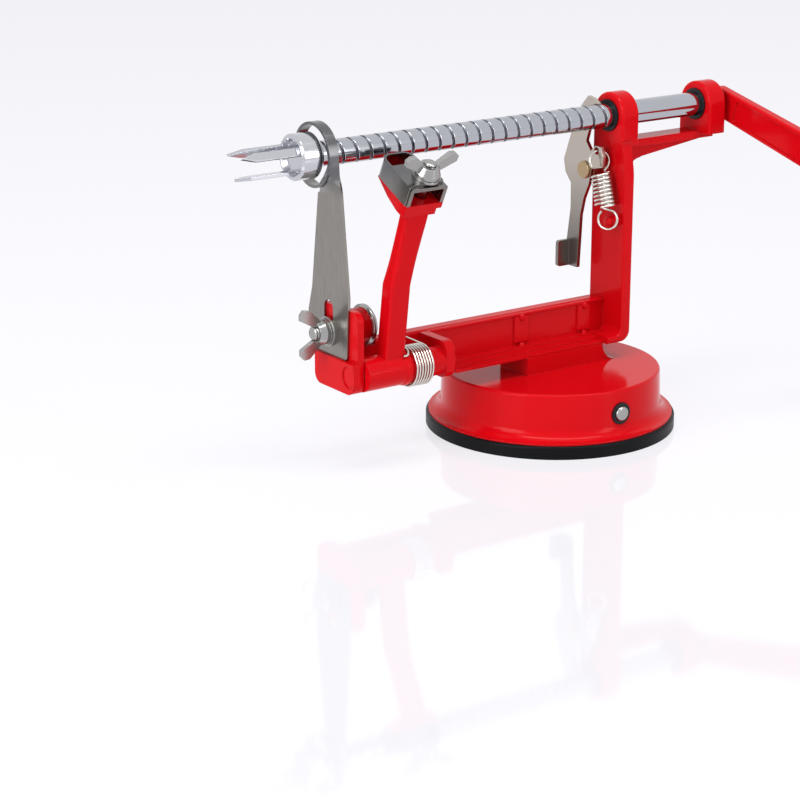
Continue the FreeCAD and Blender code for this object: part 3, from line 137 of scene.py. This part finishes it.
red_powder_coat = finish_of("Red powder coated die casting", "#c60711", 0.13, specular=0.085,
                            grain=(6.0, 0.015), edge=0.6)
dress(["body_frame", "base_cover", "peeler_arm", "crank_arm", "suction_lever"],
      red_powder_coat)

# Suction pad
# Black natural rubber, moulded in one with the pull stud: matt, with a faint dusty bloom.
black_rubber = finish_of("Moulded black rubber", "#0a0b0d", 0.4, specular=0.10,
                         grain=(1.2, 0.03), edge=0.6)
dress(["suction_pad"], black_rubber)

# Bushes
# Black nylon, injection moulded and pressed into the castings: satin, slightly greasy sheen.
black_nylon = finish_of("Moulded black nylon", "#121316", 0.34, specular=0.25, edge=0.3)
dress(["cam_bushes", "front_bush", "rear_bush"], black_nylon)

# Fork and crank nut
# Turned steel, buffed and chrome plated: a hard mirror with a cool tint.
chrome = finish_of("Chrome plated steel", "#c3c4c9", 0.11, metallic=1.0, edge=0.3)
dress(["fork", "crank_nut"], chrome)

# Bolts, washers, wing nuts, studs, pins and shafts
# Zinc plated steel and pressure cast nuts, barrel plated: greyer and softer than chrome.
zinc_plate = finish_of("Zinc plated steel", "#a3a3a1", 0.24, metallic=1.0,
                       grain=(0.9, 0.02), edge=0.25)
dress(["cam_shaft", "pad_stud", "frame_screws", "peeler_axle", "holder_washer",
       "holder_wing_nut", "corer_washers", "corer_wing_nut", "grip_pin"], zinc_plate)

# Thrust washer
# Hardened steel washer, oiled black.
oiled_steel = finish_of("Oil blacked steel", "#3a3b3e", 0.35, metallic=1.0)
dress(["thrust_washer"], oiled_steel)

# Springs
# Music wire wound cold and nickel plated: bright, with dark gaps between the turns.
nickel_wire = finish_of("Nickel plated spring wire", "#cfccc4", 0.16, metallic=1.0)
dress(["lever_spring", "torsion_spring"], nickel_wire)

# Blades, blade holder and release lever
# Stainless sheet, blanked, bent and linished: a satin grey with fine lines, smoother at the height
# of the screw, where its colour is darkened as a painted dark reflection. The lever is nickel
# plated; its colour is painted lighter towards the top and darker towards the handle end, as
# painted highlight and painted shade.
# Between 108 and 118 mm of height the colour darkens to #6c6c6e: a painted dark reflection.
stainless = finish_of("Linished stainless sheet", "#96928c", 0.25, metallic=1.0,
                      grain=(0.8, 0.01), edge=0.2, streak=("#807b75", 14.0),
                      polish_and_painted_light=(108.0, 118.0, 0.2, "#6c6c6e"))
dress(["corer_blade", "peeler_blade", "blade_holder"], stainless)
# From 74 to 104 mm of height the colour lightens to #b9b0a6: painted shade below, painted highlight
# above.
plated_lever = finish_of("Nickel plated steel sheet", "#847d78", 0.27, metallic=1.0,
                         grain=(0.8, 0.01), edge=0.25, polish_and_painted_light=(74.0, 104.0, 0.2, "#b9b0a6"))
dress(["release_lever"], plated_lever)

# Lever pivot
# Brass shoulder rivet, turned, left bare and a little tarnished.
bare_brass = finish_of("Bare turned brass", "#b09877", 0.32, metallic=1.0, edge=0.3)
dress(["lever_pivot"], bare_brass)

# Crank grip
# Black polypropylene barrel, moulded with a fine spark texture.
black_polypropylene = finish_of("Moulded black polypropylene", "#151619", 0.4, specular=0.3,
                                grain=(0.7, 0.02), edge=0.5)
dress(["crank_grip"], black_polypropylene)


# Feed screw
# Chrome plated steel rod with one right-hand groove, rolled in before plating.
# The groove is narrow beside its wide polished lands; its floor is duller, and its darker colour
# is painted shade in the groove.
def placed(name, data):
    """An object of a name that holds the data, put into the scene."""
    piece = bpy.data.objects.new(name, data)
    bpy.context.scene.collection.objects.link(piece)
    return piece


def mesh_piece(name, points, faces, finishes, body, dull_and_shaded=None):
    """An object from an array of points and a list of faces, riding on a CAD body. It takes one
    finish, or two where dull says for each face whether it has the second."""
    mesh = bpy.data.meshes.new(name)
    mesh.from_pydata(points.tolist(), [], faces)
    mesh.update()
    piece = placed(name, mesh)
    mesh.polygons.foreach_set("use_smooth", [True] * len(mesh.polygons))
    for finish in finishes:
        mesh.materials.append(finish)
    if dull_and_shaded is not None:
        mesh.polygons.foreach_set("material_index", dull_and_shaded.astype(np.int32))
    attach(piece, body)
    return piece


def grid_quads(rows, columns):
    """Quads of a grid of rows by columns, its last column joined to its first."""
    row, column = np.meshgrid(np.arange(rows - 1), np.arange(columns), indexing="ij")
    after = (column + 1) % columns
    quads = np.stack([row * columns + column, row * columns + after,
                      (row + 1) * columns + after, (row + 1) * columns + column], axis=-1)
    return quads.reshape(-1, 4)


around = 48
rows_per_groove = 7
trough_power = 0.6
run_outs_per_pitch = 3
dull_and_shaded_from = 0.5


def threaded_bar(name, profile, thread, groove, place, axes, finishes, body):
    """A closed bar turned from a profile of (length, radius) rows along its own axis. Its radius
    at length s and angle a falls by a smooth trough of the groove's width wherever s lies near a
    point of the helix pitch * a / (2 pi), between the thread's ends. The point of length s, radius
    r and angle a stands at place + s * axis + r * (cos a * first side + sin a * second side).
    thread is (start, end, pitch) and groove is (width, depth)."""
    start, end, pitch = thread
    width, depth = groove
    steps = int(round((end - start) / width * rows_per_groove))
    rows = np.array(profile)
    fine = np.linspace(start, end, steps)
    crest = np.interp(fine, rows[:, 0], rows[:, 1])
    before, beyond = rows[rows[:, 0] < start], rows[rows[:, 0] > end]
    length = np.concatenate([before[:, 0], fine, beyond[:, 0]])[:, None]
    radius = np.concatenate([before[:, 1], crest, beyond[:, 1]])[:, None]
    angle = np.linspace(0, 2 * math.pi, around, endpoint=False)[None, :]
    offset = (length - pitch * angle / (2 * math.pi)) % pitch
    offset = np.minimum(offset, pitch - offset)
    trough = np.clip(1 - (offset / (width / 2)) ** 2, 0, 1) ** trough_power
    run_out = pitch / run_outs_per_pitch
    trough = trough * np.clip((length - start) / run_out, 0, 1)
    trough = trough * np.clip((end - length) / run_out, 0, 1)
    radius = radius - depth * trough
    axis, side, second = [np.array(way) for way in axes]
    points = (np.array(place) + length[..., None] * axis
              + (radius * np.cos(angle))[..., None] * side
              + (radius * np.sin(angle))[..., None] * second)
    centres = np.array(place) + np.array([[length[0, 0]], [length[-1, 0]]]) * axis
    count = len(length)
    ring = np.arange(around)
    after = (ring + 1) % around
    last = ring + around * (count - 1)
    first_cap = np.stack([np.full(around, around * count), after, ring], axis=-1)
    last_cap = np.stack([np.full(around, around * count + 1), last,
                         after + around * (count - 1)], axis=-1)
    # Faces deep in the groove take the second finish, whose darker colour is painted shade.
    low = np.maximum(trough[:-1], trough[1:])
    dull_and_shaded = (np.maximum(low, np.roll(low, -1, axis=1)) > dull_and_shaded_from).reshape(-1)
    dull_and_shaded = np.concatenate([dull_and_shaded, np.zeros(2 * around, bool)])
    faces = grid_quads(count, around).tolist() + first_cap.tolist() + last_cap.tolist()
    return mesh_piece(name, np.vstack([points.reshape(-1, 3), centres]), faces, finishes,
                      body, dull_and_shaded if len(finishes) > 1 else None)


along_screw = ((1, 0, 0), (0, 1, 0), (0, 0, 1))
screw_height = 0.124
crest_radius = 0.00485
hub_face = -0.114
crank_seat = 0.0852
end_band = 0.0002
screw_thread = (-0.1125, 0.0245, 0.0063)
screw_groove = (0.0011, 0.0006)
bright_screw = finish_of("Polished chrome screw", "#b2b4ba", 0.09, metallic=1.0)
# The groove's darker colour is painted shade; its higher roughness is the duller floor.
shaded_dull_groove = finish_of("Dull groove of the screw with painted shade", "#5a5c63", 0.32, metallic=1.0)
screw_rows = [(hub_face, crest_radius), (hub_face + end_band, crest_radius),
              (crank_seat - end_band, crest_radius), (crank_seat, crest_radius)]
screw = threaded_bar("screw_thread", screw_rows, screw_thread, screw_groove, (0, 0, screw_height),
                     along_screw, [bright_screw, shaded_dull_groove], "spindle")
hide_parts("feed_screw")

# Corer bolt and holder stud
# Steel with a rolled right-hand M5 thread, zinc plated; the bolt has a wide low head behind
# its boss.
# The real pitch of 0.8 mm is drawn at 1.1 mm, because a finer one doesn't show.
drawn_pitch = 0.0011
bolt_end, head_seat = -0.114, -0.091
shank_radius, head_radius = 0.0028, 0.0081
bolt_place = (0, 0.0026, 0.0547)
bolt_rows = [(bolt_end, 0.0), (bolt_end, 0.0022), (-0.1135, shank_radius), (-0.0911, shank_radius),
             (head_seat, shank_radius), (head_seat, head_radius), (-0.0896, head_radius),
             (-0.0882, 0.00648), (-0.0874, 0.003645)]
bolt = threaded_bar("corer_bolt_thread", bolt_rows, (-0.1136, -0.1015, drawn_pitch),
                    (0.001, 0.0005), bolt_place, along_screw, [zinc_plate], "frame")
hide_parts("corer_bolt")
stud_lean = math.radians(26.0)
stud_axes = ((0, -math.sin(stud_lean), math.cos(stud_lean)), (1, 0, 0),
             (0, math.cos(stud_lean), math.sin(stud_lean)))
stud_foot, stud_radius = -0.0026, 0.0024
stud_place = (-0.0804, -0.020753, 0.108246)
stud_rows = [(stud_foot, 0.0), (stud_foot, stud_radius), (0.0147, stud_radius), (0.0151, 0.0019)]
stud = threaded_bar("holder_stud_thread", stud_rows, (0.0085, 0.0148, drawn_pitch),
                    (0.001, 0.0004), stud_place, stud_axes, [zinc_plate], "arm")
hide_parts("holder_stud")

# Studio
# White lacquered table with a faint mirror image of the base, in white surroundings, lit by
# large soft boxes.
def seen_of(tree):
    """One for rays from the camera and for mirror and clear rays, else nought."""
    path = add(tree, "ShaderNodeLightPath")
    seen = path.outputs["Is Camera Ray"]
    for kind in ("Is Glossy Ray", "Is Transmission Ray"):
        either = add(tree, "ShaderNodeMath", {"operation": "MAXIMUM"})
        tree.links.new(seen, either.inputs[0])
        tree.links.new(path.outputs[kind], either.inputs[1])
        seen = either.outputs[0]
    return seen


def share_of(tree, value, factor):
    """A socket times a number."""
    product = add(tree, "ShaderNodeMath", {"operation": "MULTIPLY"})
    tree.links.new(value, product.inputs[0])
    product.inputs[1].default_value = factor
    return product.outputs[0]


def bare_tree(owner):
    """The emptied node tree of a material or a world."""
    owner.use_nodes = True
    owner.node_tree.nodes.clear()
    return owner.node_tree


def blended(tree, factor, first_shader, second_shader):
    """The first shader where the factor is nought, the second where it is one."""
    mixed = add(tree, "ShaderNodeMixShader", Fac=factor)
    tree.links.new(first_shader.outputs[0], mixed.inputs[1])
    tree.links.new(second_shader.outputs[0], mixed.inputs[2])
    return mixed


glow_share, mirror_share = 0.78, 0.1
mirror_roughness = 0.06
soft_strength = 0.55
floor_material = bpy.data.materials.new("White glossy table")
table = bare_tree(floor_material)
table_seen = seen_of(table)
matt = add(table, "ShaderNodeBsdfDiffuse", Color=linear("#f4f4f7"))
glow = add(table, "ShaderNodeEmission", Color=linear("#fbfaff"), Strength=1.0)
mirror = add(table, "ShaderNodeBsdfGlossy", Color=linear("#ffffff"), Roughness=mirror_roughness)
plain = blended(table, share_of(table, table_seen, glow_share), matt, glow)
waxed = blended(table, share_of(table, table_seen, mirror_share), plain, mirror)
add(table, "ShaderNodeOutputMaterial", Surface=waxed.outputs[0])
reach = 4.0
corners = [(-reach, -reach, 0), (reach, -reach, 0), (reach, reach, 0), (-reach, reach, 0)]
floor_mesh = bpy.data.meshes.new("floor")
floor_mesh.from_pydata(corners, [], [(0, 1, 2, 3)])
floor_mesh.materials.append(floor_material)
piece = placed("floor", floor_mesh)

world = bpy.data.worlds.new("Studio")
bpy.context.scene.world = world
sky = bare_tree(world)
white = add(sky, "ShaderNodeBackground", Color=linear("#fdfdff"), Strength=1.0)
soft = add(sky, "ShaderNodeBackground", Color=linear("#f2f4f8"), Strength=soft_strength)
surroundings = blended(sky, seen_of(sky), soft, white)
add(sky, "ShaderNodeOutputWorld", Surface=surroundings.outputs[0])


def panel(name, place, target, size, power):
    """A soft box at a place, turned to a target, of a size in metres and a power in watts."""
    light = bpy.data.lights.new(name, "AREA")
    light.shape = "RECTANGLE"
    light.size, light.size_y = size
    light.energy = power
    lamp = placed(name, light)
    lamp.location = place
    lamp.rotation_euler = (Vector(target) - Vector(place)).to_track_quat("-Z", "Y").to_euler()


middle = (0.0, 0.0, 0.07)
panel("top_light", (-0.1, -0.3, 1.2), middle, (1.2, 0.3), 9.0)
panel("left_light", (-1.2, -0.2, 0.5), middle, (0.7, 0.7), 9.0)
panel("front_light", (0.5, -1.2, 0.5), middle, (0.3, 0.8), 3.4)

# Camera
# A long lens from the left front, a little above the screw, as the photograph was taken.
view_left = -0.608794
view_down = 0.3105585
focal_pixels = 2278.3
frame_pixels = 800
sensor_mm = 36.0
camera_place = Vector((-0.562, -0.69839, 0.29004))
centre_row = 413
right = Vector((math.cos(view_left), math.sin(view_left), 0))
back = Vector((math.sin(view_left) * math.cos(view_down),
               -math.cos(view_left) * math.cos(view_down), math.sin(view_down)))
up = back.cross(right)
lens = bpy.data.cameras.new("camera")
lens.sensor_width = sensor_mm
lens.lens = focal_pixels / frame_pixels * sensor_mm
lens.shift_y = (centre_row - frame_pixels / 2) / frame_pixels
lens.clip_start = 0.01
camera = placed("camera", lens)
facing = Matrix((right, up, back)).transposed().to_4x4()
camera.matrix_world = Matrix.Translation(camera_place) @ facing
bpy.context.scene.camera = camera
bpy.context.scene.view_settings.view_transform = "Standard"
